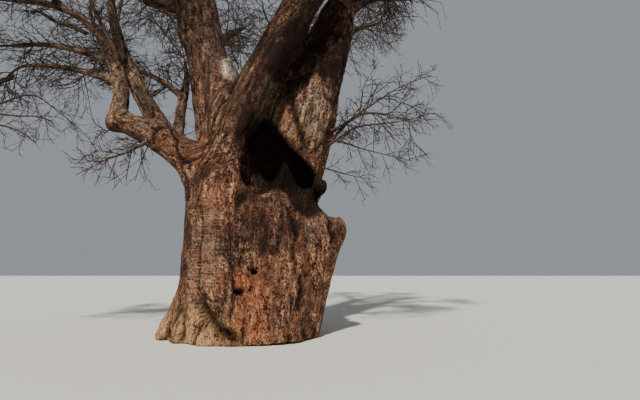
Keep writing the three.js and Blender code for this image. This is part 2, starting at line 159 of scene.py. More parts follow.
# Repeatable numbers from 0 to 1: the fraction of a large sine, for a number and a channel
def seeded(number, channel):
    wave = np.sin(number * scramble["number"] + channel * scramble["channel"]) * scramble["wave"]
    return wave - np.floor(wave)


# 0 below the low end, 1 above the high end, and 3s^2 - 2s^3 between them
def smoothStep(low, high, value):
    share = np.clip((value - low) / (high - low), 0, 1)
    return share * share * (3 - 2 * share)


# Smooth noise from -1 to 1: a scrambled number at each corner of a unit lattice, eased between
# the eight corners round a point
def smoothNoise(points, seed):
    cell = np.floor(points).astype(np.int64)
    share = (points - cell).astype(np.float32)
    share = share * share * (3 - 2 * share)
    mask = scramble["mask"]
    total = np.zeros(len(points), np.float32)
    for corner in range(8):
        step = np.array([corner & 1, corner >> 1 & 1, corner >> 2 & 1])
        key = (((cell + step) * np.array(scramble["corner"])).sum(1) + seed * scramble["seed"]) & mask
        key = ((key ^ key >> 15) * scramble["first"]) & mask
        key = ((key ^ key >> 13) * scramble["second"]) & mask
        value = ((key ^ key >> 16) & 0xffff).astype(np.float32) / 32767.5 - 1
        total += value * np.prod(np.where(step, share, 1 - share), axis=1)
    return total


# Layers of smooth noise, each at half the pitch and half the height of the last, over the sum of
# their heights
def layeredNoise(points, seed, layers=3):
    heights = [.5 ** i for i in range(layers)]
    total = sum(height * smoothNoise(points / height, seed + i) for i, height in enumerate(heights))
    return total / sum(heights)


# Point of a quadratic curve: (1 - s)^2 start + 2 s (1 - s) control + s^2 end
def curvePoint(start, control, end, share):
    return (1 - share) ** 2 * start + 2 * share * (1 - share) * control + share ** 2 * end


# Heading of the same curve: (1 - s)(control - start) + s (end - control), at unit length
def curveHeading(start, control, end, share):
    return unit((1 - share) * (control - start) + share * (end - control))


# Distance to a cone with round ends: to the nearest point of its middle line, less the radius
# there. Gives the distance and the share of the way along.
def coneDistance(x, y, z, cone):
    start, end, startRadius, endRadius = cone
    along = [float(b - a) for a, b in zip(start, end)]
    px, py, pz = (value - float(a) for value, a in zip((x, y, z), start))
    square = max(sum(a * a for a in along), 1e-9)
    share = np.clip((px * along[0] + py * along[1] + pz * along[2]) / square, 0, 1)
    away = (px - share * along[0]) ** 2 + (py - share * along[1]) ** 2 + (pz - share * along[2]) ** 2
    return np.sqrt(away) - (float(startRadius) + float(endRadius - startRadius) * share), share


# Smooth least of two distances: the lesser, less blend / 4 times the square of their overlap
def smoothLeast(first, second, blend):
    overlap = np.maximum(blend - np.abs(first - second), 0) / blend
    return np.minimum(first, second) - overlap * overlap * (blend / 4)


# Cones of the trunk: its stems, its knobs and the lobes of the root flare
def trunkCones():
    cones = list(stems)
    for centre, radius in knobs:
        cones.append((centre, (centre[0] - radius, *centre[1:]), radius, radius))
    for heading in rootFlare["headings"]:
        across = math.cos(math.radians(heading))
        away = math.sin(math.radians(heading)) * rootFlare["depthShare"]
        outer = (across * rootFlare["reach"], away * rootFlare["reach"], 0)
        inner = (across * rootFlare["innerReach"], away * rootFlare["innerReach"], rootFlare["rise"])
        cones.append((outer, inner, rootFlare["radius"], rootFlare["innerRadius"]))
    return cones


# Blended distance to the trunk: -k log(sum of exp(-distance / k)) over its cones
def trunkDistance(points):
    x, y, z = points.T
    total = sum(np.exp(-coneDistance(x, y, z, cone)[0] / stemBlend) for cone in coneList)
    return -stemBlend * np.log(np.maximum(total, 1e-12))


# Limbs in straight runs: how long, how many at least, how softly a limb joins on for its radius,
# between which bounds, and the limbs that join on otherwise
limbRule = {"run": .45, "least": 6, "blendShare": .55, "blends": (.1, .6), "joins": {"right_bough": .2}}


# A limb's middle line in short straight cones, with the length grown at each joint
def limbShape(name):
    base, tip, bow, radii, taper = limbs[name]
    base, tip = np.array(base, float), np.array(tip, float)
    control = (base + tip) / 2 + 2 * np.array(bow, float)
    count = max(limbRule["least"], math.ceil(np.linalg.norm(tip - base) / limbRule["run"]))
    share = np.linspace(0, 1, count + 1)[:, None]
    line = curvePoint(base, control, tip, share)
    radius = radii[0] + (radii[1] - radii[0]) * share[:, 0] ** taper
    blend = float(np.clip(limbRule["blendShare"] * radii[0], *limbRule["blends"]))
    return {
        "curve": (base, control, tip), "radii": radii, "blend": limbRule["joins"].get(name, blend),
        "grown": np.concatenate([[0], np.cumsum(np.linalg.norm(np.diff(line, axis=0), axis=1))]),
        "cones": [(line[i], line[i + 1], radius[i], radius[i + 1]) for i in range(count)],
        "low": (line - radius[:, None]).min(0), "high": (line + radius[:, None]).max(0),
    }


coneList = trunkCones()
limbShapes = {name: limbShape(name) for name in limbs}


# Turns the offset from a limb's line as if the limb stood upright: v + w x v + w x (w x v) / (1 + c),
# where w is heading x up and c is the heading's rise
def turnUpright(offset, heading):
    turn = np.cross(heading, [0, 0, 1])
    twice = np.cross(turn, np.cross(turn, offset))
    return offset + np.cross(turn, offset) + twice / np.maximum(1 + heading[:, 2:], .1)


# Where points lie on one limb: distance, place along the grain, and the limb's radius there
def readLimb(points, shape):
    x, y, z = points.T
    nearest = np.full(len(points), 1e3)
    line = np.zeros((len(points), 3))
    heading = np.zeros((len(points), 3))
    grown, radius = np.zeros(len(points)), np.zeros(len(points))
    for i, cone in enumerate(shape["cones"]):
        distance, share = coneDistance(x, y, z, cone)
        closer = distance < nearest
        part = share[closer][:, None]
        nearest[closer] = distance[closer]
        line[closer] = cone[0] + (cone[1] - cone[0]) * part
        heading[closer] = unit(cone[1] - cone[0])
        step = shape["grown"][i + 1] - shape["grown"][i]
        grown[closer] = shape["grown"][i] + share[closer] * step
        radius[closer] = cone[2] + (cone[3] - cone[2]) * share[closer]
    grain = turnUpright(points - line, heading) + shape["foot"]
    grain[:, 2] += grown
    return nearest, grain, radius


# How softly readings blend, the radius that the trunk's wood reads as, and how far a limb is read
reading = {"soft": .12, "trunkRadius": 1.2, "reach": .6}


# The place along the grain and the radius at points: the mean of what the trunk and each limb near
# a point say, weighted by exp(-distance / soft)
def readBark(points, names):
    weight = np.exp(-trunkDistance(points) / reading["soft"])
    total, radius = weight.copy(), weight * reading["trunkRadius"]
    grain = points * weight[:, None]
    for name in names:
        shape = limbShapes[name]
        low, high = shape["low"] - reading["reach"], shape["high"] + reading["reach"]
        near = np.flatnonzero(np.all((points > low) & (points < high), axis=1))
        if len(near):
            distance, place, thick = readLimb(points[near], shape)
            weight = np.exp(-distance / reading["soft"])
            total[near] += weight
            radius[near] += weight * thick
            grain[near] += weight[:, None] * place
    total = np.maximum(total, 1e-12)
    return grain / total[:, None], radius / total


# Each limb's grain carries on from what it grows out of
placed = []
for name, shape in limbShapes.items():
    shape["foot"] = readBark(shape["curve"][0][None], placed)[0][0]
    placed.append(name)


# Slices of a lattice that hold a box: on each axis, from its low side to its high side
def window(axes, low, high):
    return tuple(
        slice(int(np.searchsorted(axis, a)), int(np.searchsorted(axis, b)))
        for axis, a, b in zip(axes, low, high)
    )


# Distances to cones, each over its own part of a lattice: the box round it, wider by its radius and
# a margin. A cone whose box holds no point of the lattice is left out.
def coneParts(axes, cones, margin):
    for cone in cones:
        reach = max(cone[2], cone[3]) + margin
        at = window(axes, np.minimum(cone[0], cone[1]) - reach, np.maximum(cone[0], cone[1]) + reach)
        x, y, z = (axis[part] for axis, part in zip(axes, at))
        if min(len(x), len(y), len(z)):
            yield at, coneDistance(x[:, None, None], y[None, :, None], z[None, None, :], cone)[0]


# Pieces of bark: the starts of the names of the solids that each replaces, its lattice's pitch and box
barkPieces = {
    "trunk_bark": {"own": ("trunk",), "voxel": .05, "low": (-3.6, -3.2, -.15), "high": (4.6, 3.7, 7.6)},
    "front_bark": {"own": ("front_",), "voxel": .046, "low": (-.9, -4.5, 4.2), "high": (5.6, .8, 16.9)},
    "right_bark": {"own": ("right_",), "voxel": .05, "low": (-.4, -1.6, 4.2), "high": (7.7, 4.3, 16.8)},
    "centre_bark": {
        "own": ("centre_", "broken_"), "voxel": .05,
        "low": (-5.3, -3.2, 4.6), "high": (.8, 2.5, 16.8),
    },
    "back_bark": {"own": ("back_",), "voxel": .058, "low": (-4.8, .3, 4.6), "high": (5.7, 7.4, 16.1)},
    "left_bark": {
        "own": ("left_", "inner_", "small_"), "voxel": .036,
        "low": (-9.3, -3.2, 4.8), "high": (.2, 2.9, 14.3),
    },
}
# Hollows cut into the blended surface, as cones with round ends and how softly each is cut: the deep
# recess under the right bough, then the notches under the burl and over the shoulder
cavities = [
    ((.8, -.45, 7.6), (2.15, -.2, 5.75), .6, .85, .12), ((2.1, -.5, 5.75), (2.72, -1, 4.95), .8, .56, .12),
    ((2.72, -1.35, 4.93), (2.7, -.4, 5), .56, .5, .12), ((1.2, -.7, 7.1), (1.45, -.85, 5.88), .55, .64, .12),
    ((.95, -1.4, 5.78), (1.1, -1.2, 7), .56, .46, .5), ((3.64, -1.2, 6), (3.6, .9, 6), .32, .32, .12),
    ((3.4, -1.3, 4.92), (3.36, .9, 4.92), .31, .31, .12),
    ((3.7, -1.5, 4.74), (3.68, .9, 4.72), .42, .42, .12),
]
# Of those, how many make the recess, where its shade is full and where it ends, and how rough they are
cavityRule = {"recess": 5, "shade": (.28, .06), "rough": .06, "pitch": .8}
# More wood, as cones, by the limb that it belongs to: behind the front bough, round the scar, and
# between the centre and the front boughs
webs = {
    "right_bough": [
        ((1, .35, 6.8), (1.25, .35, 9.2), .7, .34), ((.2, .55, 6.2), (.85, .5, 8.5), .8, .4),
        ((1.25, .35, 9.2), (1.94, .45, 10.45), .34, .32), ((1.94, .45, 10.45), (2.83, .45, 11.73), .32, .2),
    ],
    "centre_bough": [
        ((-.68, .25, 10), (-.71, .25, 10.42), .55, .5), ((-.5, -.2, 8.6), (-.66, .15, 9.9), .5, .5),
        ((-.62, -.35, 7.3), (-.5, -.2, 8.6), .5, .5),
    ],
}
# What stands for far off, how far round wood and hollows the lattice is filled in, and how a piece
# sinks and ends under its neighbour
lattice = {
    "far": 5.0, "faint": 1e-11, "trunkMargin": 1.3, "limbMargin": .35, "cavityMargin": .3,
    "sink": .04, "overlap": .45,
}


# Surface of one piece of bark as the zero level of the blended distance over a lattice: the trunk's
# -k log(sum of exp(-distance / k)), a smooth least with each limb, and the hollows cut from that.
# Past where its own wood is nearest it sinks slowly under its neighbour, and it is closed off inside.
def barkSurface(settings):
    far = lattice["far"]
    axes = [np.arange(low, high, settings["voxel"], dtype=np.float32)
            for low, high in zip(settings["low"], settings["high"])]
    size = [len(axis) for axis in axes]
    total = np.zeros(size, np.float32)
    own, others = np.full(size, far, np.float32), np.full(size, far, np.float32)
    for owner, cones in {"trunk": coneList, **webs}.items():
        side = own if owner.startswith(settings["own"]) else others
        for at, distance in coneParts(axes, cones, lattice["trunkMargin"]):
            total[at] += np.exp(-distance / stemBlend)
            side[at] = np.minimum(side[at], distance)
    field = -stemBlend * np.log(np.maximum(total, lattice["faint"]))
    for name, shape in limbShapes.items():
        margin = shape["blend"] + lattice["limbMargin"]
        nearest = np.full(size, far, np.float32)
        for at, distance in coneParts(axes, shape["cones"], margin):
            nearest[at] = np.minimum(nearest[at], distance)
        if nearest.min() < far:
            at = window(axes, shape["low"] - margin, shape["high"] + margin)
            field[at] = smoothLeast(field[at], nearest[at], shape["blend"])
            side = own if name.startswith(settings["own"]) else others
            side[at] = np.minimum(side[at], nearest[at])
    for *cavity, blend in cavities:
        for at, distance in coneParts(axes, [cavity], lattice["cavityMargin"] + blend):
            places = np.stack(np.meshgrid(*(axis[part] for axis, part in zip(axes, at)), indexing="ij"), -1)
            rough = layeredNoise(places.reshape(-1, 3) / cavityRule["pitch"], noiseSeeds["cavity"], 2)
            distance = distance + cavityRule["rough"] * rough.reshape(distance.shape)
            field[at] = -smoothLeast(-field[at], distance, blend)
    past = own - others
    field += lattice["sink"] * np.maximum(past, 0)
    field = np.maximum(field, past - lattice["overlap"])
    field = np.maximum(field, -axes[2][None, None, :])
    grid = vdb.FloatGrid(far)
    grid.copyFromArray(field)
    points, quads = grid.convertToQuads(0.0)
    points = np.array(settings["low"]) + points.astype(float) * settings["voxel"]
    quads = quads.astype(np.int64)
    a, b, c, d = (points[quads[:, i]] for i in range(4))
    if np.einsum("ij,ij->", a, np.cross(b, c) + np.cross(c, d)) < 0:   # the faces point inwards
        quads = quads[:, ::-1]
    return points, quads


# Normal at each point: the sum of the cross products of its faces' diagonals
def pointNormals(points, quads):
    face = np.cross(points[quads[:, 2]] - points[quads[:, 0]], points[quads[:, 3]] - points[quads[:, 1]])
    normals = np.zeros_like(points)
    for corner in range(4):
        for axis in range(3):
            normals[:, axis] += np.bincount(quads[:, corner], face[:, axis], len(points))
    return unit(normals)


# A new object of points and faces, with rows of three values at its points, and a finish by face
def addPiece(name, points, faces, values=None, finishes=(), finishOf=None):
    mesh = bpy.data.meshes.new(name)
    sides = faces.shape[1]
    mesh.vertices.add(len(points))
    mesh.vertices.foreach_set("co", points.astype(np.float32).ravel())
    mesh.loops.add(faces.size)
    mesh.loops.foreach_set("vertex_index", faces.astype(np.int32).ravel())
    mesh.polygons.add(len(faces))
    mesh.polygons.foreach_set("loop_start", np.arange(0, faces.size, sides, dtype=np.int32))
    mesh.polygons.foreach_set("use_smooth", np.ones(len(faces), bool))
    for finish in finishes:
        mesh.materials.append(finish)
    if finishOf is not None:
        mesh.polygons.foreach_set("material_index", finishOf.astype(np.int32))
    mesh.update(calc_edges=True)
    for key, value in (values or {}).items():
        attribute = mesh.attributes.new(key, "FLOAT_VECTOR", "POINT")
        attribute.data.foreach_set("vector", value.astype(np.float32).ravel())
    piece = bpy.data.objects.new(name, mesh)
    bpy.context.scene.collection.objects.link(piece)
    return piece


# What the bark's surface does: folds along the grain, creases between them that come and go, coarse
# lumps, and swellings along a limb. Heights and pitches are of thick wood, and thin wood has less.
relief = {
    "thick": .9, "least": .12, "lumpPower": .6,
    "flute": .05, "flutePitch": (.75, .75, 3.4),
    "crease": .06, "creasePitch": (.5, .5, 2.1), "creaseWidth": .15, "creaseBend": .35, "creaseShade": .75,
    "gapPitch": 1.3, "gaps": (-.5, .3),
    "lump": .034, "lumpPitch": (.24, .24, .3),
    "swell": .06, "swellPitch": 1.7, "swellLeast": .15,
    "sway": .12, "swayPitch": .45, "foldShade": .08, "facing": (.05, .45), "near": (-.2, -.7),
}
# Marks that have a place of their own in the front view. Folds and ribs: a path across and up, its
# width, and its depth or rise. Hollows: place across and up, half width, half height and depth.
# Folds and hollows also get painted shade, the deeper folds more.
trunkMarks = {
    "folds": [
        (((-.94, 4.6), (-.87, 3.7), (-.89, 2.2), (-.83, 1.6), (-.62, 1.1)), .08, .07),
        (((-.8, 1.4), (-.62, 1.1), (-.31, .75), (.05, .42)), .26, .28),
        (((.25, 3.5), (.22, 2.9), (.3, 2.24), (.33, 1.7), (.3, 1.18), (.22, .76)), .06, .1),
        (((-.66, 1.62), (-.5, 1.47), (-.33, 1.42), (-.15, 1.42), (-.03, 1.5)), .05, .08),
        (((2.58, 2.22), (2.54, 1.57), (2.46, 1.14)), .1, .08),
        (((3.52, 4.4), (3.63, 4.1), (3.62, 3.75), (3.7, 3.4)), .08, .15),
        (((-1.98, .95), (-2.05, .5), (-2.1, 0)), .09, .12),
        (((-1.42, .9), (-1.35, .5), (-1.4, 0)), .1, .13),
        (((-.75, .75), (-.85, .4), (-.95, 0)), .09, .12),
        (((.75, .55), (.7, .25), (.75, 0)), .08, .1),
        (((1.2, 4.4), (1.35, 3.6), (1.2, 2.9)), .13, .06),
        (((2.15, 4.5), (2.4, 3.7), (2.25, 2.8)), .13, .07),
        # A crease down the right bough, whose painted shade also stands in for a shadow cast across it
        (((1.9, 9.57), (2.1, 8.8), (2.33, 7.98), (2.71, 7.04), (2.99, 6.47)), .15, .17),
        (((.68, 5.5), (.62, 5.1), (.45, 4.5)), .16, .1),
        (((-2.97, 7.07), (-2.98, 7.42), (-2.88, 7.69), (-2.62, 7.78), (-2.46, 7.73), (-2.16, 7.19),
          (-2.01, 6.73), (-1.91, 6.47)), .06, .08),
        (((-.09, 8.98), (-.33, 8.74), (-.6, 8.44), (-.78, 8.13), (-.88, 7.75), (-1.01, 6.99),
          (-1.11, 6.57)), .06, .08),
        (((-1.91, 6.35), (-1.58, 6.35), (-1.29, 6.45), (-1.11, 6.57)), .13, .1),
        (((-4.66, 8.24), (-4.5, 7.97), (-4.19, 7.81), (-3.75, 7.89)), .05, .05),
    ],
    "ribs": [
        (((.98, 1.55), (1.15, 1.18), (1.1, .35)), .17, .12),
        (((-.93, 5.57), (-.5, 5.53), (.25, 5.48)), .035, .025),
    ],
    "hollows": [
        (.54, 1.71, .17, .1, .34), (1.01, 2.37, .12, .09, .26), (.83, 2.45, .06, .06, .1),
        (1.09, 2.49, .06, .06, .1), (.89, 1.77, .06, .05, .1), (.22, .2, .4, .34, .4),
    ],
}
# Swellings: centre, reach and height
swellings = [
    ((3.2, -.42, 5.5), .3, .08), ((.7, -1.8, 5.02), .2, .14), ((-4.2, -.75, 8.35), .13, .1),
    ((1.55, -.45, 8.6), .8, .22), ((-2.45, .75, 12.2), .6, .22), ((2.35, -1.4, 10.68), .8, .2),
    ((.11, -1.05, 9.79), .45, .22),
]


# Distance in the front view to a path: the least of those to the nearest point of each straight run
def pathDistance(across, up, path):
    nearest = np.full(len(across), 9.0)
    for (ax, az), (bx, bz) in zip(path, path[1:]):
        share = ((across - ax) * (bx - ax) + (up - az) * (bz - az)) / ((bx - ax) ** 2 + (bz - az) ** 2)
        share = np.clip(share, 0, 1)
        nearest = np.minimum(nearest, np.hypot(across - ax - share * (bx - ax), up - az - share * (bz - az)))
    return nearest


# Height of the bark over its blended surface, and the painted shade of its creases, folds and
# hollows, 0 to 1: noise for the folds and lumps, and exp(-(distance / width)^2) across each crease and mark
def barkRelief(points, normals, grain, radius):
    size = np.clip(radius / relief["thick"], relief["least"], 1)
    flute = layeredNoise(grain / relief["flutePitch"], noiseSeeds["flute"], 2)
    bent = grain / relief["creasePitch"] + relief["creaseBend"] * flute[:, None]
    crease = np.exp(-(smoothNoise(bent, noiseSeeds["crease"]) / relief["creaseWidth"]) ** 2)
    crease = crease * smoothStep(*relief["gaps"], smoothNoise(grain / relief["gapPitch"], noiseSeeds["gap"]))
    lump = layeredNoise(grain / relief["lumpPitch"], noiseSeeds["lump"], 2)
    pitch = relief["swellPitch"] * np.maximum(radius, relief["swellLeast"])
    swell = smoothNoise(grain / pitch[:, None], noiseSeeds["swell"])
    height = size * (relief["flute"] * flute - relief["crease"] * crease)
    height += size ** relief["lumpPower"] * relief["lump"] * lump + relief["swell"] * radius * swell
    # Painted shade: darker in the creases, then in the folds and hollows below
    shade = relief["creaseShade"] * crease
    x, y, z = points.T
    front = smoothStep(*relief["facing"], -normals[:, 1]) * smoothStep(*relief["near"], y)
    sway = x + relief["sway"] * layeredNoise(points / relief["swayPitch"], noiseSeeds["sway"], 2)
    for path, width, depth in trunkMarks["folds"]:
        fold = front * np.exp(-(pathDistance(sway, z, path) / width) ** 2)
        height -= depth * fold
        shade = np.maximum(shade, fold * min(1, depth / relief["foldShade"]))
    for path, width, rise in trunkMarks["ribs"]:
        height += rise * front * np.exp(-(pathDistance(x, z, path) / width) ** 2)
    for across, up, halfWidth, halfHeight, depth in trunkMarks["hollows"]:
        away = ((x - across) / halfWidth) ** 2 + ((z - up) / halfHeight) ** 2
        hollow = front * np.exp(-away ** 2)
        height -= depth * hollow
        shade = np.maximum(shade, hollow)
    for centre, reach, rise in swellings:
        height += rise * np.exp(-((points - centre) ** 2).sum(1) / reach ** 2)
    return height, np.clip(shade, 0, 1)


# Patches of colour in the front view: place across and up, half width and half height. The belly
# patches are painted sunlight; recess, burl, burlShade and notch are painted shade.
patches = {
    "orangeFoot": (.95, 1.1, .9, 1.75), "orangeEdge": (-.9, 10.1, .4, .65), "stem": (-.75, 3, .8, 2.4),
    "shoulder": (3.15, 4, .8, .85), "dome": (1.8, 4.9, .9, .5), "bellyMiddle": (1.45, 8.5, .6, 1.1),
    "bellySide": (3.1, 8.3, .75, 1.4), "middle": (1.2, 3.7, 1.5, 1), "recess": (1.8, 6.2, 1.2, 1.1),
    "leftEdge": (-1.72, 3.6, .4, 2.3), "knob": (3.6, 3.9, .4, .5), "collar": (-.5, 5.8, 1, .5),
    "burl": (3.2, 5.5, .5, .65), "domeStain": (1.8, 4.7, .9, .6), "burlShade": (3.2, 5.5, .5, .55),
    "notch": (2.82, 4.95, .32, .45),
}
# Noise that frays the patches: pitch, height and layers. The scar: its middle, and its reach each way.
zoneRule = {
    "drift": (.8, .35, 3), "fleck": (.22, .25, 2), "edge": (1.3, .5),
    "scar": (-.27, -.2, 10.38), "scarReach": (.46, .9, .74), "scarEdge": (.3, .72),
}


# Where the bark's colours lie, 0 to 1: the most of the patches and heights that say so. Zones: orange
# low on the front, ash grey on the boughs and thin limbs and painted sunlight on the right bough's belly,
# and the cream wood of the scar. Marks: painted shade in creases, hollows, the recess, the burl, the
# notch and the front bough's right-facing side; wrinkles; and dark stain that is partly painted shade.
def barkZones(points, normals, radius, shade):
    x, y, z = points.T
    drift = 0
    for key in ("drift", "fleck"):
        pitch, height, layers = zoneRule[key]
        drift = drift + height * layeredNoise(points / pitch, noiseSeeds[key], layers)
    front = smoothStep(0, .5, -normals[:, 1])

    def patch(name):
        across, up, halfWidth, halfHeight = patches[name]
        away = np.hypot((x - across) / halfWidth, (z - up) / halfHeight)
        return smoothStep(*zoneRule["edge"], away + drift)

    orange = np.maximum(front * patch("orangeFoot"), .6 * smoothStep(.95, .25, z + .6 * drift))
    orange = np.maximum(orange, front * patch("orangeEdge"))
    stem = front * patch("stem")
    shoulder = patch("shoulder") * smoothStep(2.4, 2.8, x)
    # The right bough's belly, painted paler as sunlight through the ash zone; it also lifts the stain there
    paintedSunBelly = np.maximum(patch("bellyMiddle"), patch("bellySide")) * smoothStep(.1, -.3, y)
    grey = smoothStep(9.3, 11, z + drift) * smoothStep(.2, -.6, x)   # the top of the centre bough
    # Ash grey of the boughs and thin limbs, and the painted sunlight of the right bough's belly
    ashAndPaintedLight = np.clip(np.maximum.reduce([
        .7 * stem, .8 * shoulder, .3 * front * patch("dome"), smoothStep(.62, .3, radius),
        .7 * smoothStep(6.2, 8.5, z), grey, 1.3 * paintedSunBelly,
    ]), 0, 1)
    away = (points - zoneRule["scar"]) / zoneRule["scarReach"]
    scar = smoothStep(*zoneRule["scarEdge"], np.exp(-(away ** 2).sum(1)) + .5 * drift)
    # The front bough above 7.5 m: its stain is painted dappled shade, with painted shade on its right-facing
    # side
    onFront = smoothStep(.25, .05, readLimb(points, limbShapes["front_bough"])[0]) * smoothStep(6, 7.5, z)
    # The top of the right bough, whose stain is a painted shadow of the front bough
    rightTop = smoothStep(8.6, 10, z + drift) * smoothStep(-.9, -.6, y) * smoothStep(.6, 1.2, x)
    # Facing right, away from the key light
    toRight = smoothStep(-.1, .4, normals[:, 0] + .3 * drift)
    # Dark stain, partly dark bark and partly painted shade: over the recess and the burl, on the front
    # bough, under the boughs and on the top of the right bough
    stainAndShade = np.maximum.reduce([
        front * patch("middle"), front * patch("recess"), front * patch("leftEdge"),
        .6 * front * patch("collar"), .9 * front * patch("domeStain"),
        .7 * patch("knob") * smoothStep(3.35, 3.5, x), smoothStep(.6, .2, y) * patch("burl"),
        .5 * smoothStep(6.2, 7.6, z), .85 * grey, 1.3 * rightTop,
        onFront * (.9 - .6 * smoothStep(10.5, 12, z) + .6 * toRight),
        .8 * smoothStep(0, -.6, normals[:, 2]) * smoothStep(6, 7, z),
    ]) * (1 - .8 * paintedSunBelly)
    near = smoothStep(.35, 0, y)
    # Painted shade on the burl, in the notch beside the shoulder and on the front bough's right-facing side
    shade = np.maximum.reduce([
        shade, .9 * near * patch("burlShade"), .95 * near * patch("notch"),
        .7 * onFront * smoothStep(.05, .6, normals[:, 0] + .2 * drift),
    ])
    marks = np.stack([shade, np.maximum(stem, .3 * shoulder), stainAndShade], 1)
    return np.stack([orange, ashAndPaintedLight, scar], 1), marks


# One piece of bark: its surface moved out by the height of its relief, but not below the ground
def makeBark(name, settings, finishes):
    points, quads = barkSurface(settings)
    normals = pointNormals(points, quads)
    near = [limb for limb, shape in limbShapes.items()
            if np.all(shape["high"] > settings["low"]) and np.all(shape["low"] < settings["high"])]
    grain, radius = readBark(points, near)
    height, shade = barkRelief(points, normals, grain, radius)
    # Painted shade in the recess: full near the walls of its hollows
    for *cavity, _ in cavities[:cavityRule["recess"]]:
        distance = coneDistance(*points.T, cavity)[0]
        shade = np.maximum(shade, smoothStep(*cavityRule["shade"], distance))
    zones, marks = barkZones(points, normals, radius, shade)
    values = {"grain": grain, "zones": zones, "marks": marks}
    points = points + normals * height[:, None]
    points[:, 2] = np.maximum(points[:, 2], 0)
    piece = addPiece(name, points, quads, values, finishes)
    print(name, len(quads) * 2, "triangles")
    return piece


# A node tree's socket, so that shader maths reads as plain expressions
class Value:
    def __init__(self, finish, socket):
        self.finish, self.socket = finish, socket

    # This value and others through one maths node
    def maths(self, operation, *others):
        return self.finish.node("ShaderNodeMath", {"operation": operation}, dict(enumerate((self, *others))))

    def __add__(self, other):
        return self.maths("ADD", other)

    def __sub__(self, other):
        return self.maths("SUBTRACT", other)

    def __mul__(self, other):
        return self.maths("MULTIPLY", other)

    def __rsub__(self, other):
        return self.maths("MULTIPLY", -1).maths("ADD", other)

    __radd__ = __add__
    __rmul__ = __mul__

    # 0 below low, 1 above high, eased between them
    def between(self, low, high):
        settings = {"interpolation_type": "SMOOTHSTEP"}
        return self.finish.node("ShaderNodeMapRange", settings, {0: self, 1: low, 2: high, 3: 0.0, 4: 1.0})


# One material, with a method that makes any node from its type, settings and sockets
class Finish:
    def __init__(self, name):
        self.material = bpy.data.materials.new(name)
        self.material.use_nodes = True
        self.tree = self.material.node_tree
        self.tree.nodes.clear()

    # A node of any type, its settings, and a value or a link for each of its sockets
    def node(self, kind, settings=None, sockets=None, output=0):
        made = self.tree.nodes.new(kind)
        for key, value in (settings or {}).items():
            setattr(made, key, value)
        for key, value in (sockets or {}).items():
            if isinstance(value, Value):
                self.tree.links.new(value.socket, made.inputs[key])
            else:
                made.inputs[key].default_value = value
        return None if output is None else Value(self, made.outputs[output])

    # first where share is 0, second where it is 1
    def mixColour(self, share, first, second):
        return self.node("ShaderNodeMix", {"data_type": "RGBA"}, {0: share, 6: first, 7: second}, 2)

    # Noise over a vector that is divided by the stretch on its third axis
    def noise(self, vector, scale, detail, roughness, distortion=0.0, stretch=1):
        if stretch != 1:
            settings = {"operation": "DIVIDE"}
            vector = self.node("ShaderNodeVectorMath", settings, {0: vector, 1: (1, 1, stretch)})
        sockets = {"Vector": vector, "Scale": scale, "Detail": detail, "Roughness": roughness}
        return self.node("ShaderNodeTexNoise", None, {**sockets, "Distortion": distortion})

    # A vector's three parts
    def split(self, vector):
        first = self.node("ShaderNodeSeparateXYZ", None, {0: vector})
        return [Value(self, output) for output in first.socket.node.outputs]

    # What the mesh carries at its points under a name
    def attribute(self, name):
        return self.node("ShaderNodeAttribute", {"attribute_name": name}, None, "Vector")

    # The place in the piece, in metres, which is the place in the tree
    def place(self):
        return self.node("ShaderNodeTexCoord", None, None, "Object")

    # The one shader, with bump where there's a height, and its output
    def surface(self, skin, roughness, height=None, strength=0, distance=0):
        sockets = {"Base Color": skin, "Roughness": roughness, "Specular IOR Level": .1}
        if height is not None:
            bump = {"Strength": strength, "Distance": distance, "Height": height}
            sockets["Normal"] = self.node("ShaderNodeBump", None, bump)
        shader = self.node("ShaderNodeBsdfPrincipled", None, sockets)
        self.node("ShaderNodeOutputMaterial", None, {"Surface": shader}, None)
        return self.material


# A colour from its values on a screen, 0 to 255, as the shader's linear light: v / 12.92 for the
# darkest, and ((v + .055) / 1.055)^2.4 above
def colour(red, green, blue):
    lit = [value / 255 for value in (red, green, blue)]
    return tuple(v / 12.92 if v < .04045 else ((v + .055) / 1.055) ** 2.4 for v in lit) + (1.0,)


# Colours of the bark. dark is painted shade, highlightTan a painted highlight, stainAndShade dark bark and
# painted shade
barkColours = {
    "redBrown": colour(138, 92, 68), "purpleBrown": colour(100, 67, 54), "rust": colour(152, 98, 67),
    "ashAndPaintedLight": colour(134, 113, 96), "highlightTan": colour(222, 182, 142), "orange": colour(148, 80, 48),
    "dark": colour(20, 12, 9), "cream": colour(238, 220, 196), "lichen": colour(132, 124, 94),
    "stainAndShade": colour(52, 34, 28), "dust": colour(196, 154, 110),
}
# Layers of noise in the grain: scale, detail, roughness, distortion, and stretch along the grain
barkLayers = {
    "mottle": (1.5, 5, .6, .5), "streak": (2.6, 4, .6, .4, 4.5), "coarse": (6.6, 4, .72, .3, 2.6),
    "fine": (16, 3, .76, .3, 1.3), "wrinkle": (1.1, 4, .7, 1.2, .1),
}


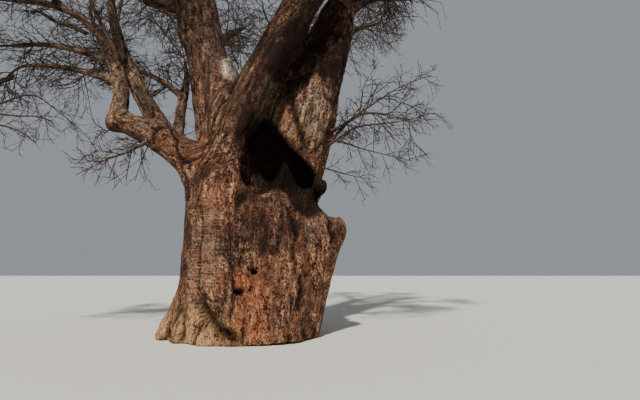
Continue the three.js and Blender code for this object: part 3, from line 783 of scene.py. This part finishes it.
# Bark of the trunk and limbs: colours in their zones, one over the other, with a painted tan
# highlight on the crests and painted dark shade in the gaps of a coarse grain, and fine wrinkles across
# it. pale is the least share of ash.
def barkMaterial(name, pale, bump):
    finish = Finish(name)
    place, grain = finish.place(), finish.attribute("grain")
    orange, ashAndPaintedLight, scar = finish.split(finish.attribute("zones"))
    shade, wrinkled, stainAndShade = finish.split(finish.attribute("marks"))
    across, up = finish.split(place)[::2]
    mottle, streak, coarse, fine, wrinkle = (finish.noise(grain, *layer) for layer in barkLayers.values())
    broad, spots = finish.noise(place, .55, 4, .55), finish.noise(place, 2.2, 4, .6)
    lump = (coarse * .5 + fine * .5) * (1 - wrinkled * .6) + (wrinkle * .6 + fine * .4) * wrinkled * .6
    crestHighlight = lump.between(.51, .59) * (.42 + streak.between(.4, .6) * .5)
    gap = 1 - lump.between(.425, .5)
    dusty = (1 - (up + mottle * .6 - .3).between(.3, 1.8)) * (1 - across.between(-.6, 1.2) * .9)
    coats = [
        ((broad * .5 + streak * .5).between(.42, .58), "purpleBrown"),
        (mottle.between(.48, .66) * .7, "rust"),
        ((orange + mottle * 1.5 - 1.15).between(0, 1) * .9, "orange"),
        ((ashAndPaintedLight + pale + mottle * 2 - 1.4).between(0, .8), "ashAndPaintedLight"),
        (ashAndPaintedLight * spots.between(.54, .7) * .3, "lichen"),
        (dusty * .8, "dust"),
        # Painted highlight: tan on the crests of the grain
        (crestHighlight * (1 - orange * .55), "highlightTan"),
        # Dark stain, partly painted shade
        (stainAndShade * (mottle.between(.35, .55) * .5 + .35), "stainAndShade"),
        ((1 - streak.between(.38, .5)) * (1 - wrinkled * .7) * .5, "stainAndShade"),
        # Painted shade: dark in the gaps of the grain, and in the creases, folds, hollows and recess of the
        # shade mark
        (gap * .92, "dark"),
        (shade * .92, "dark"),
        (scar * (1 - gap * .6) * (.6 + mottle.between(.4, .55) * .4), "cream"),
    ]
    skin = barkColours["redBrown"]
    for share, tint in coats:
        skin = finish.mixColour(share, skin, barkColours[tint])
    height = coarse * .8 + fine * .55 + wrinkle * wrinkled * .4
    return finish.surface(skin, .8 + .12 * fine, height, 1.0, bump)


# Bark of the stems in the masses, and of the twigs: one plain tone with fine streaks
def twigMaterial(name, tone, streak):
    finish = Finish(name)
    grit = finish.noise(finish.place(), 38, 2, .6)
    skin = finish.mixColour(grit.between(.35, .65), tone, streak)
    return finish.surface(skin, .8 + .12 * grit, grit, .5, .004)


barkFinishes = {"bark": barkMaterial("bark", 0.0, .16), "limb_bark": barkMaterial("limb_bark", .15, .13)}
branchFinish = twigMaterial("branch_bark", colour(88, 72, 61), colour(52, 43, 38))
twigFinishes = [
    twigMaterial("twig_grey", colour(80, 70, 64), colour(52, 46, 43)),
    twigMaterial("twig_brown", colour(98, 76, 62), colour(66, 50, 42)),
    twigMaterial("twig_dark", colour(70, 60, 56), colour(48, 42, 40)),
]

for name, settings in barkPieces.items():
    slot = "limb_bark" if name == "left_bark" else "bark"
    piece = makeBark(name, settings, [barkFinishes[slot]])
    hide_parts(*(node for node in ("trunk", *limbs) if node.startswith(settings["own"])))
    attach(piece, "root")

# How the masses grow, level by level: how many twigs each parent gets, and more beside those, their
# length, spread and droop, and how thin they end. The solids' own rule has the first three levels,
# without the twigs under more.
growth = [
    {"count": 1, "more": 0, "length": .6, "spread": 0, "droop": .04, "thinning": .28},
    {"count": 5, "more": 6, "length": .62, "spread": 50, "droop": .16, "thinning": .3},
    {"count": 2, "more": 7, "length": .46, "spread": 52, "droop": .2, "thinning": .45},
    {"count": 4, "more": 0, "length": .3, "spread": 40, "droop": .16, "thinning": .6},
    {"count": 2, "more": 0, "length": .16, "spread": 38, "droop": .2, "thinning": .7},
]
# Of one mass: where its twigs set out and how they turn, how thick they are, and the room they keep
twigRule = {
    "firstAt": .16, "turn": 137.5, "turnJitter": 50, "spreads": (.7, .6), "lengthJitter": .4,
    "shortening": .35, "curl": .7, "lift": (3, .9), "stemGap": .0004, "stemLead": .4,
    "turnFrom": (.1, .2, 1), "curlFrom": (.3, -.2, 1),
    "radiusShare": .5, "stemShare": .86, "smallest": (.02, .02, .0145, .0105, .008, .0055),
    "thinnest": .01, "slimness": .012, "centreShare": .52, "spaceShare": .54,
    "clearance": .06, "fineClearance": .02, "testedAt": (.35, .55, .75, 1),
}
tubeShape = [(8, 10), (6, 8), (4, 7), (3, 6), (3, 4)]   # sides and points of the twigs of each level


# The ball that a mass keeps to, and its stem's three curve points: from the limb's tip, on along
# the limb, and bent to the mass's own heading
def massShape(index, limb):
    region, heading, reach, keep = masses[limb]
    shape = limbShapes[limb]
    forward = curveHeading(*shape["curve"], 1.0)
    toward = unit(np.array(heading, float))
    start = shape["curve"][2] + forward * twigRule["stemGap"]
    length = reach * growth[0]["length"]
    end = start + toward * length - [0, 0, length * growth[0]["droop"]]
    thick = shape["radii"][1] * twigRule["stemShare"]
    return {
        "name": "twigs_" + limb.removesuffix("_limb").removesuffix("_spur"), "region": region,
        "centre": start + toward * reach * twigRule["centreShare"], "radius": reach * twigRule["spaceShare"],
        "curve": (start, start + forward * length * twigRule["stemLead"], end),
        "radii": (thick, thick * growth[0]["thinning"]), "reach": reach, "index": index, "keep": keep,
    }


massShapes = [massShape(index, limb) for index, limb in enumerate(masses)]
massCentres = np.array([mass["centre"] for mass in massShapes])
massRadii = np.array([mass["radius"] for mass in massShapes])
limbCones = [cone for shape in limbShapes.values() for cone in shape["cones"]] + coneList
for mass in massShapes:
    x, y, z = mass["centre"][:, None]
    mass["near"] = [cone for cone in limbCones if coneDistance(x, y, z, cone)[0][0] < mass["radius"]]


# Whether points are in a mass's ball, nearer to it than to any other, and off the limbs. Shoots
# that belong to no mass only keep off the limbs and in the tree's box.
def inSpace(points, host, clearance):
    clear = np.all((points > cadBox[0]) & (points < cadBox[1]), axis=1)
    if host["index"] is not None:
        away = np.linalg.norm(points[:, None] - massCentres, axis=2) / massRadii
        own = away[:, host["index"]].copy()
        away[:, host["index"]] = 9
        gap = 2 * twigRule["clearance"] / host["radius"]
        clear &= (own <= 1) & np.all(away >= (own + gap)[:, None], axis=1)
    x, y, z = points.T
    for cone in host["near"]:
        clear &= coneDistance(x, y, z, cone)[0] > clearance
    return clear


# Children of many twigs at once. Each sets out along its parent's line turned off by the spread,
# and round it by the turn, and its end falls by the droop and curls to one side. Own twigs are those
# of the solids' rule, which neither curl nor lift. Children out of their host's space are left out.
def growChildren(host, parents, level, first, count):
    rule, smallest = growth[level], twigRule["smallest"]
    rows = len(parents["number"])
    of, i = np.repeat(np.arange(rows), count), np.tile(np.arange(count), rows)
    number = parents["number"][of] * 10 + first + i + 1
    own = level < 3 and first == 0 and host["index"] is not None
    along = twigRule["firstAt"] + (1 - twigRule["firstAt"]) * (i + seeded(number, 1)) / count
    least, more = twigRule["spreads"]
    spread = np.radians(rule["spread"] * (least + more * seeded(number, 2)))[:, None]
    turn = i * twigRule["turn"] + twigRule["turnJitter"] * (seeded(number, 3) - .5)
    turn = np.radians(turn + 360 * seeded(parents["number"][of], 7 + first))[:, None]
    length = host["reach"] * rule["length"] * (1 - twigRule["lengthJitter"] * (1 - seeded(number, 4)))
    length = length * (1 - twigRule["shortening"] * along)
    curve = [part[of] for part in parents["curve"]]
    start, heading = curvePoint(*curve, along[:, None]), curveHeading(*curve, along[:, None])
    side = unit(np.cross(heading, twigRule["turnFrom"]))
    front = np.cross(side, heading)
    outward = np.cos(turn) * side + np.sin(turn) * front
    heading = unit(np.cos(spread) * heading + np.sin(spread) * outward)
    lift, least = twigRule["lift"]
    droop = rule["droop"] * (1 if own else lift * seeded(number, 5) - least)
    curl = (seeded(number, 6) - .5) * 2 * twigRule["curl"] * (not own)
    across = unit(np.cross(heading, twigRule["curlFrom"]))
    control = start + heading * (length * .5)[:, None]
    end = start + heading * length[:, None] + across * (curl * length)[:, None]
    end[:, 2] -= length * droop
    clear = np.ones(len(start), bool) if own else seeded(number, 8) < host["keep"]
    clearance = twigRule["clearance" if own else "fineClearance"]
    for share in twigRule["testedAt"]:
        clear &= inSpace(curvePoint(start, control, end, share), host, clearance)
    thick = parents["base"][of] + (parents["tip"][of] - parents["base"][of]) * along
    base = np.minimum(thick * twigRule["radiusShare"], twigRule["thinnest"] + twigRule["slimness"] * length)
    base = np.maximum(smallest[level], base)
    inherits = level > 1 and host["index"] is not None
    children = {
        "number": number, "base": base, "tip": np.maximum(smallest[level + 1], base * rule["thinning"]),
        "tone": parents["tone"][of] if inherits else np.floor(3 * seeded(number, 9)).astype(int),
        "level": np.full(len(of), level),
    }
    children = {key: value[clear] for key, value in children.items()}
    children["curve"] = [part[clear] for part in (start, control, end)]
    return children


# Lots of twigs as one
def joined(lots):
    together = {key: np.concatenate([lot[key] for lot in lots]) for key in lots[0] if key != "curve"}
    together["curve"] = [np.concatenate([lot["curve"][i] for lot in lots]) for i in range(3)]
    return together


# One stem or limb as a lot of its own, which twigs can grow from
def oneTwig(number, level, shape):
    base, tip = shape["radii"]
    rows = {"number": number, "base": base, "tip": tip, "tone": 0, "level": level}
    rows = {key: np.array([value]) for key, value in rows.items()}
    return {**rows, "curve": [point[None] for point in shape["curve"]]}


# Levels of a mass from its stem on, each the children of the level before
def growMass(mass):
    levels = [oneTwig(mass["index"] + 1, 0, mass)]
    for level, rule in enumerate(growth[1:], 1):
        lots = [growChildren(mass, levels[-1], level, 0, rule["count"])]
        if rule["more"]:
            lots.append(growChildren(mass, levels[-1], level, rule["count"], rule["more"]))
        levels.append(joined(lots))
    return levels


# Small branches that the photograph shows one by one: radius at the base and at the tip, shoots for
# each metre, the shoots' reach, and points along the branch
smallBranches = [
    # over and under the left arms
    (.085, .05, 3, 2.6, ((-6, -.5, 11.6), (-6.4, -.55, 11.82), (-7.06, -.6, 11.95), (-7.5, -.6, 12.25),
     (-7.8, -.6, 12.45), (-8.1, -.6, 12.38))),
    (.1, .014, 3, 2.6, ((-8.7, -.6, 9.7), (-9.5, -.8, 9.3), (-9.8, -.95, 8.8), (-9.35, -1, 8.5),
     (-8.7, -.9, 8.6), (-8.05, -.9, 8.93), (-7.44, -.9, 8.93), (-6.93, -.9, 8.55), (-5.94, -.9, 7.77))),
    (.075, .02, 3, 2.4, ((-9.43, -.79, 9.28), (-10, -1, 8.95), (-10.15, -1.15, 8.3), (-9.4, -1.2, 8.05),
     (-8.58, -1.2, 8.12), (-7.87, -1.2, 8.01), (-7.2, -1.2, 8.05), (-6.65, -1.2, 7.84))),
    (.05, .03, 14, 4.2, ((-5.8, -.5, 9.95), (-5.95, -.6, 9.75), (-6.2, -.65, 9.5))),
    # from the small riser
    (.075, .02, 1.6, 2, ((-2.5, .8, 9.7), (-2.33, .5, 9.85), (-2.03, .1, 9.88), (-1.79, -.15, 9.95),
     (-1.87, -.2, 10.2), (-2.1, -.1, 10.62), (-3.2, .2, 12), (-4.3, .4, 13.5))),
    (.055, .035, 2, 1, ((-3.2, 1.15, 10.1), (-3.4, 1, 9.75), (-3.72, .8, 9.45))),
    # off the right bough
    (.075, .012, 3, 2.4, ((3.55, .4, 7.4), (4.07, .3, 7.96), (4.5, .2, 8.4), (5.27, .2, 8.9),
     (6.4, .1, 9.68), (7.6, 0, 10.05))),
    (.065, .012, 3, 2.4, ((3.55, .3, 7.3), (4.18, .2, 7.73), (4.66, .1, 8.01), (5.56, .1, 8.1),
     (6.55, 0, 8.18), (7.7, -.1, 8.5))),
    (.055, .01, 3.5, 2.4, ((3.45, .3, 7.5), (4.18, .2, 7.4), (4.69, .1, 7.13), (5.74, 0, 6.85),
     (6.64, -.1, 6.6))),
    (.04, .009, 3.5, 2, ((3.2, .2, 6.4), (3.78, 0, 6.2), (4.55, -.1, 5.96), (5.13, -.1, 5.85))),
    (.032, .008, 2.5, 1.6, ((4.75, .2, 8.5), (4.87, .15, 9.1), (4.88, .1, 9.52), (5.12, .1, 10.02),
     (5.6, 0, 10.7))),
    # steep, off the left riser
    (.13, .06, 4.5, 3, ((-4.95, -.5, 9.6), (-4.6, -.55, 10.2), (-4.7, -.6, 10.8), (-5.15, -.65, 11.6),
     (-5.65, -.7, 12.5), (-6, -.8, 13.5))),
    (.1, .05, 4.5, 3, ((-5.2, -.45, 10.7), (-5.4, -.3, 11.2), (-5.75, -.2, 11.9), (-6.1, -.1, 12.9))),
    (.1, .05, 4.5, 3, ((-4.75, -.4, 10), (-4.45, -.3, 10.6), (-4.75, -.2, 11.5), (-4.95, -.1, 12.2),
     (-4.8, 0, 13.2))),
    # under the elbow of the left bough
    (.045, .01, 3, 1.8, ((-2.9, -.6, 7.4), (-3.3, -.75, 7.1), (-3.88, -.8, 6.8), (-4.73, -.8, 6.52),
     (-5.4, -.8, 6.5))),
    (.02, .009, 8, 1.6, ((-4.35, -.6, 7.75), (-4.76, -.6, 7.66), (-4.98, -.6, 7.64), (-5.21, -.6, 7.59))),
    (.02, .009, 7, 1.5, ((-3.5, -.6, 7.4), (-3.82, -.6, 7.04), (-4.12, -.6, 7.01), (-4.3, -.6, 6.89))),
    # off the front bough
    (.035, .012, 7, 2.2, ((1.42, -1.4, 11.3), (1.25, -1.4, 11.6), (1.11, -1.4, 11.97), (1.03, -1.4, 12.45),
     (.87, -1.4, 12.93))),
    (.022, .009, 6, 2, ((1.25, -1.3, 10.9), (.81, -1.3, 11.19), (.44, -1.3, 11.08), (.14, -1.3, 10.92),
     (-.15, -1.3, 10.68))),
    (.022, .009, 7, 2, ((.6, -1.2, 10.4), (.23, -1.1, 10.5), (-.04, -1.1, 10.58), (-.27, -1.1, 10.81),
     (-.5, -1.1, 11.09))),
    (.022, .009, 5, 2, ((.1, -.7, 10.1), (-.12, -.6, 10.56), (-.28, -.6, 10.76), (-.1, -.6, 11.24),
     (.09, -.6, 11.73), (-.23, -.6, 12.15))),
    # lowest on the left
    (.06, .02, 3, 2.4, ((-10.06, -1.08, 8.62), (-10.3, -1.3, 8), (-9.95, -1.35, 7.75), (-9.3, -1.3, 7.75),
     (-8.48, -1.3, 7.66), (-8.18, -1.3, 7.59), (-7.92, -1.3, 7.51), (-7.58, -1.3, 7.33),
     (-7.12, -1.3, 6.99))),
]
# Shoots for each metre of a limb, by its radius at the tip
shootRule = {"thin": 9.5, "middling": 5.5, "thinTo": .13, "middlingTo": .22, "reach": 3.1, "most": 50}
# Side branches, which fill the crown out between the masses: the limbs that have them, by region,
# how many on a limb, their reach, and how many twigs each has at the levels after
sideBranches = {
    "regions": ("centre", "front", "back"), "also": "right_top_limb",
    "count": 9, "reach": 4.6, "counts": (6, 3, 1),
}
pathTaper = .8   # power of a small branch's taper
# Numbers that the twigs outside the masses count on from, so that no two are the same
firstNumbers = {"limb": 5000, "sideBranch": 6000, "small": 7000, "smallStep": 20}


# A path of points as smooth curves: each bends from the middle of one run to that of the next
def pathCurves(path, base, tip, number):
    path = np.array(path, float)
    middle = (path[1:] + path[:-1]) / 2
    ends = np.concatenate([path[:1], middle[1:-1], path[-1:]])
    count = len(ends) - 1
    radius = base + (tip - base) * np.linspace(0, 1, count + 1) ** pathTaper
    return {
        "number": number + np.arange(count), "base": radius[:-1], "tip": radius[1:],
        "tone": np.zeros(count, int), "level": np.full(count, 1),
        "curve": [ends[:-1], path[1:-1], ends[1:]],
    }


# What twigs outside the masses keep to: off every limb, and otherwise anywhere in the tree's box
def openHost(reach):
    return {"index": None, "reach": reach, "near": limbCones, "keep": 1}


# Shoots on each of a lot of twigs, as many as its count, then their twigs and the finest ones
def growShoots(parents, reach, counts):
    host, lots = openHost(reach), []
    for i, count in enumerate(counts):
        if count:
            parent = {key: value[i:i + 1] for key, value in parents.items() if key != "curve"}
            parent["curve"] = [part[i:i + 1] for part in parents["curve"]]
            lots.append(growChildren(host, parent, 2, 0, count))
    if not lots:
        return []
    levels = [joined(lots)]
    for level in (3, 4):
        levels.append(growChildren(host, levels[-1], level, 0, growth[level]["count"]))
    return levels


# Tubes along many curves at once: rings of points turned round each line, thinner to the tip, with
# quads between the rings as two triangles each, and a fan over either end
def tubeArrays(twigs, sides, count):
    start, control, end = (part[:, None] for part in twigs["curve"])
    share = np.linspace(0, 1, count)[None, :, None]
    line, heading = curvePoint(start, control, end, share), curveHeading(start, control, end, share)
    line[:, 0] -= heading[:, 0] * twigs["base"][:, None]   # the foot is sunk into its parent
    least = np.eye(3)[np.argmin(np.abs(unit(end - start)), axis=2)]
    side = unit(np.cross(heading, least))
    front = np.cross(heading, side)
    radius = twigs["base"][:, None] + (twigs["tip"] - twigs["base"])[:, None] * share[0, :, 0]
    angle = (np.arange(sides) * 2 * math.pi / sides)[:, None]
    ring = np.cos(angle) * side[:, :, None] + np.sin(angle) * front[:, :, None]
    points = line[:, :, None] + ring * radius[:, :, None, None]
    first = np.arange(len(start))[:, None, None] * count * sides
    here = first + np.arange(count - 1)[None, :, None] * sides + np.arange(sides)
    after = first + np.arange(count - 1)[None, :, None] * sides + (np.arange(sides) + 1) % sides
    quads = np.stack([here, after, after + sides, here + sides], 3).reshape(-1, 4)
    fan, foot = np.arange(1, sides - 1), first[:, 0]
    top = foot + (count - 1) * sides
    caps = [(foot, fan + 1, fan), (top, fan, fan + 1)]
    caps = [np.stack([middle + 0 * fan, middle + a, middle + b], 2).reshape(-1, 3) for middle, a, b in caps]
    triangles = np.concatenate([quads[:, [0, 1, 2]], quads[:, [0, 2, 3]], *caps])
    walls, ends = np.repeat(twigs["tone"], (count - 1) * sides), np.repeat(twigs["tone"], sides - 2)
    return points.reshape(-1, 3), triangles, np.concatenate([walls, walls, ends, ends])


# One piece of tubes from many lots of twigs, with a finish by each twig's tone
def makeTubes(name, lots, finishes):
    points, faces, tones, done = [], [], [], 0
    for twigs in lots:
        if len(twigs["number"]):
            part, triangles, tone = tubeArrays(twigs, *tubeShape[twigs["level"][0]])
            points.append(part)
            faces.append(triangles + done)
            tones.append(np.minimum(tone, len(finishes) - 1))
            done += len(part)
    points, faces, tones = (np.concatenate(part) for part in (points, faces, tones))
    piece = addPiece(name, points, faces, None, finishes, tones)
    print(name, len(piece.data.polygons), "triangles")
    return piece


grown = {mass["name"]: growMass(mass) for mass in massShapes}
branchLots = [lot for levels in grown.values() for lot in levels[:2]]
shoots, upperTwigs = [], []
for index, (base, tip, density, reach, path) in enumerate(smallBranches):
    twigs = pathCurves(path, base, tip, firstNumbers["small"] + firstNumbers["smallStep"] * index)
    branchLots.append(twigs)
    lengths = np.linalg.norm(twigs["curve"][2] - twigs["curve"][0], axis=1)
    shoots += growShoots(twigs, reach, np.round(lengths * density).astype(int))
for index, shape in enumerate(limbShapes.values()):
    thin = shape["radii"][1]
    if thin <= shootRule["middlingTo"]:
        density = shootRule["thin" if thin <= shootRule["thinTo"] else "middling"]
        count = min(shootRule["most"], round(density * shape["grown"][-1]))
        shoots += growShoots(oneTwig(firstNumbers["limb"] + index, 1, shape), shootRule["reach"], [count])
host = openHost(sideBranches["reach"])
sided = [limb for limb, mass in masses.items()
         if mass[0] in sideBranches["regions"] or limb == sideBranches["also"]]
for index, limb in enumerate(sided):
    stem = oneTwig(firstNumbers["sideBranch"] + index, 1, limbShapes[limb])
    levels = [growChildren(host, stem, 1, 0, sideBranches["count"])]
    for level, count in enumerate(sideBranches["counts"], 2):
        levels.append(growChildren(host, levels[-1], level, 0, count))
    branchLots.append(levels[0])
    upperTwigs += levels[1:]
print("twigs grown:", sum(len(lot["number"]) for levels in grown.values() for lot in levels),
      "shoots:", sum(len(lot["number"]) for lot in shoots))
branches = makeTubes("branches", branchLots, [branchFinish])
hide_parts(*grown)
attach(branches, "root")
for name, lots in {"twigs_on_limbs": shoots, "twigs_on_upper_limbs": upperTwigs}.items():
    piece = makeTubes(name, lots, twigFinishes)
    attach(piece, "root")
for region in ("left_tips", "left_inside", "centre", "front", "right", "right_side", "back"):
    members = [mass["name"] for mass in massShapes if mass["region"] == region]
    lots = [lot for member in members for lot in grown[member][2:]]
    piece = makeTubes("twigs_of_" + region, lots, twigFinishes)
    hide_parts(*members)
    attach(piece, "root")

# The floor and the light of a plain studio, and the camera where the photograph's was: its focal
# length and the picture's width in pixels, and how far it looks up
studio = {
    "floor": 160, "floorDrop": .004, "sunFrom": (-.15, -.7, .7), "sunStrength": 5.2, "sunWidth": 2.5,
    "sunColour": (1, .95, .88), "sky": .38, "skyColour": (.78, .84, .92, 1),
}
camera = {"place": (3.2, -19, 2.7), "focal": 498, "across": 640, "up": 62, "sensor": 36, "seesTo": 500}

half, down = studio["floor"] / 2, -studio["floorDrop"]
corners = np.array([(-half, -half, down), (half, -half, down), (half, half, down), (-half, half, down)])
floorFinish = Finish("floor").surface(colour(208, 205, 197), .9)
addPiece("floor", corners, np.array([[0, 1, 2, 3]]), None, [floorFinish])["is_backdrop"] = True

sun = bpy.data.lights.new("key_light", "SUN")
sun.energy, sun.color = studio["sunStrength"], studio["sunColour"]
sun.angle = math.radians(studio["sunWidth"])
lamp = bpy.data.objects.new("key_light", sun)
lamp.rotation_euler = Vector(studio["sunFrom"]).to_track_quat("Z", "Y").to_euler()
bpy.context.scene.collection.objects.link(lamp)
world = bpy.data.worlds.new("studio")
world.use_nodes = True
sky = world.node_tree.nodes["Background"].inputs
sky["Color"].default_value, sky["Strength"].default_value = studio["skyColour"], studio["sky"]
bpy.context.scene.world = world

lens = bpy.data.cameras.new("camera")
lens.sensor_width, lens.clip_end = camera["sensor"], camera["seesTo"]
lens.lens = camera["focal"] / camera["across"] * camera["sensor"]
eye = bpy.data.objects.new("camera", lens)
eye.location = camera["place"]
eye.rotation_euler = (math.pi / 2 + math.atan(camera["up"] / camera["focal"]), 0, 0)
bpy.context.scene.collection.objects.link(eye)
bpy.context.scene.camera = eye

shownBox = [list(corner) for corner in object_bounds()]
print("box", [[round(value, 3) for value in corner] for corner in cadBox + shownBox])
